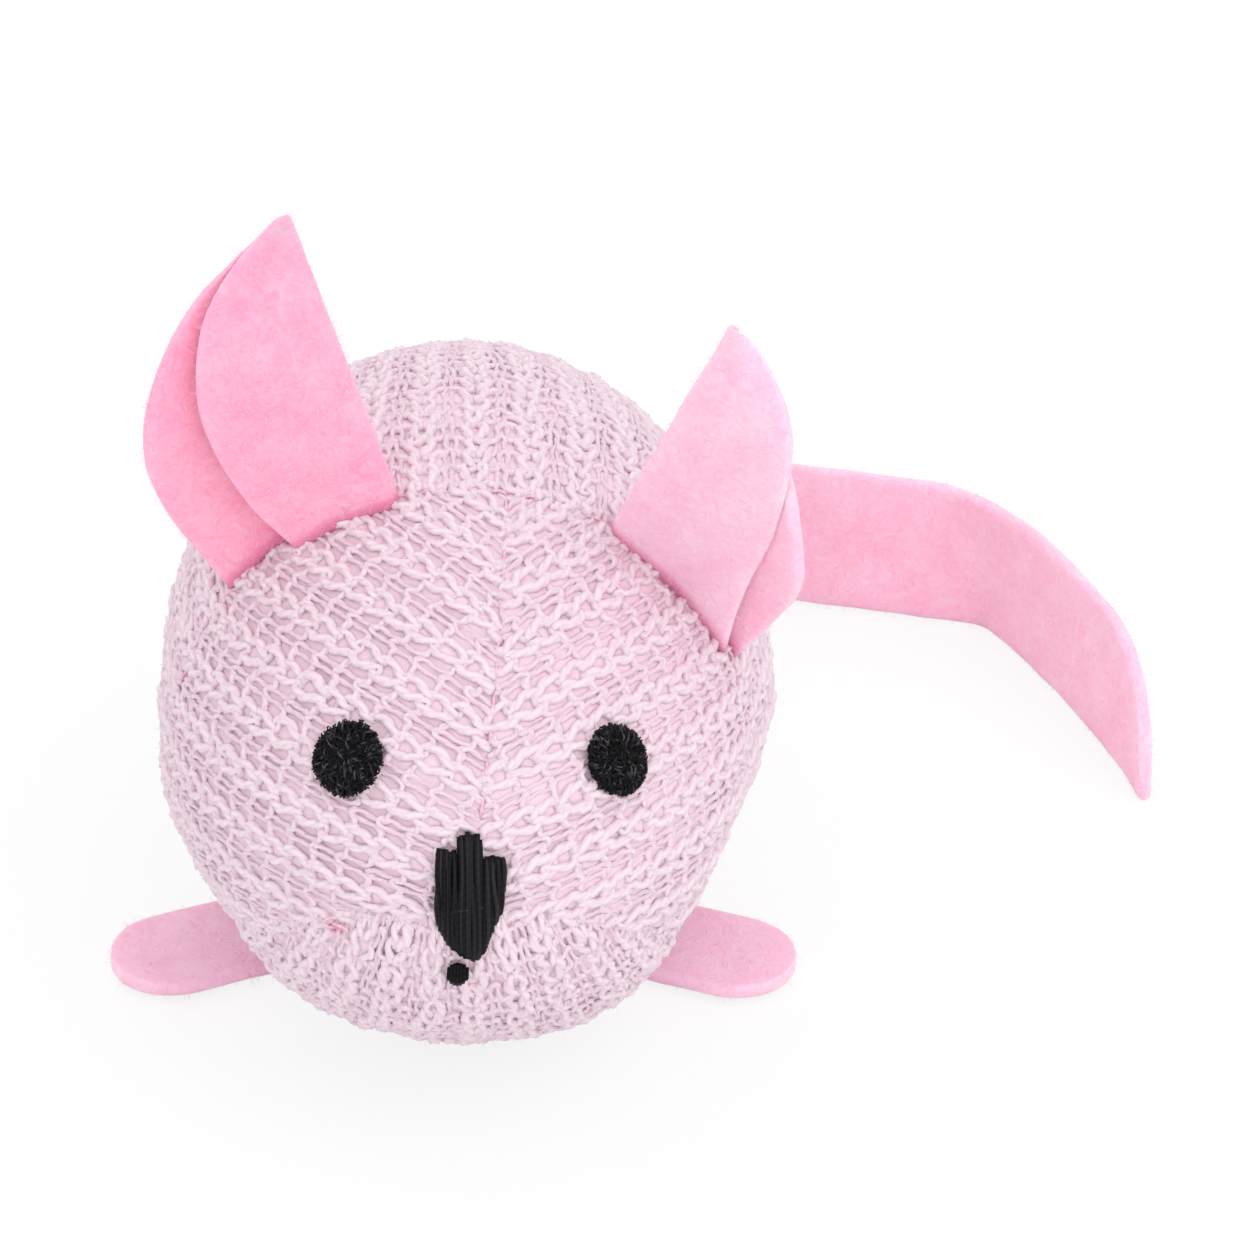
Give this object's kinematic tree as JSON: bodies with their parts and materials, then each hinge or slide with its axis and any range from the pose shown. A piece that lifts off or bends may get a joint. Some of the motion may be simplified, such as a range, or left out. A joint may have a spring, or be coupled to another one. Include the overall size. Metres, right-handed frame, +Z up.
{
  "type": "catnip mouse toy",
  "caption": "Stuffed rib-knit mouse cat toy with folded felt ears, felt feet, a flat felt tail strip, an embroidered face and a dried-herb sachet inside.",
  "frame": {"origin": "middle of the flat patch of the belly that the mouse rests on", "axes": "+Z up, -Y towards the nose, +X towards the mouse's own left"},
  "size_m": [0.1087, 0.1124, 0.0838],
  "materials": {
    "knit": "pale pink acrylic yarn, stretched rib knit",
    "sewing_thread": "pink sewing thread",
    "fibre_filling": "white polyester fibre",
    "sachet_cloth": "undyed thin cloth",
    "dried_herb": "crumbled dried leaf",
    "felt": "pink craft felt, soft and slightly mottled",
    "embroidery": "black satin stitch"
  },
  "bodies": {
    "body": {"face_panel_left": "knit", "face_panel_right": "knit", "back_panel": "knit", "belly_panel": "knit", "face_seam_thread": "sewing_thread", "ear_seam_thread": "sewing_thread", "belly_seam_thread": "sewing_thread", "closing_knot": "sewing_thread", "front_stuffing": "fibre_filling", "rear_stuffing": "fibre_filling", "sachet_front": "sachet_cloth", "sachet_back": "sachet_cloth", "dried_catnip": "dried_herb", "eye_left": "embroidery", "eye_right": "embroidery", "nose": "embroidery", "mouth_stitch": "embroidery"},
    "left_ear": {"ear_left": "felt"},
    "right_ear": {"ear_right": "felt"},
    "left_foot": {"foot_left": "felt"},
    "right_foot": {"foot_right": "felt"},
    "tail_strip": {"tail": "felt"}
  },
  "joints": [
    {"name": "left_ear_bend", "type": "hinge", "parent": "body", "child": "left_ear", "pos_m": [0.01453, -0.01036, 0.05407], "axis": [0.658, -0.1113, -0.7448], "range_deg": [-20, 20], "stiffness_Nm_per_rad": 0.02},
    {"name": "right_ear_bend", "type": "hinge", "parent": "body", "child": "right_ear", "pos_m": [-0.0061, -0.00989, 0.0572], "axis": [0.857, 0.0762, 0.5097], "range_deg": [-20, 20], "stiffness_Nm_per_rad": 0.02},
    {"name": "left_foot_bend", "type": "hinge", "parent": "body", "child": "left_foot", "pos_m": [0.01242, -0.00239, 0.00105], "axis": [-0.4163, -0.9092, 0], "range_deg": [0, 20], "stiffness_Nm_per_rad": 0.05},
    {"name": "right_foot_bend", "type": "hinge", "parent": "body", "child": "right_foot", "pos_m": [-0.0125, -0.00112, 0.00105], "axis": [-0.4163, 0.9092, 0], "range_deg": [0, 20], "stiffness_Nm_per_rad": 0.05},
    {"name": "tail_swing", "type": "hinge", "parent": "body", "child": "tail_strip", "pos_m": [0.0015, 0.038, 0.0088], "axis": [0, 0, 1], "range_deg": [-25, 60], "stiffness_Nm_per_rad": 0.02}
  ]
}
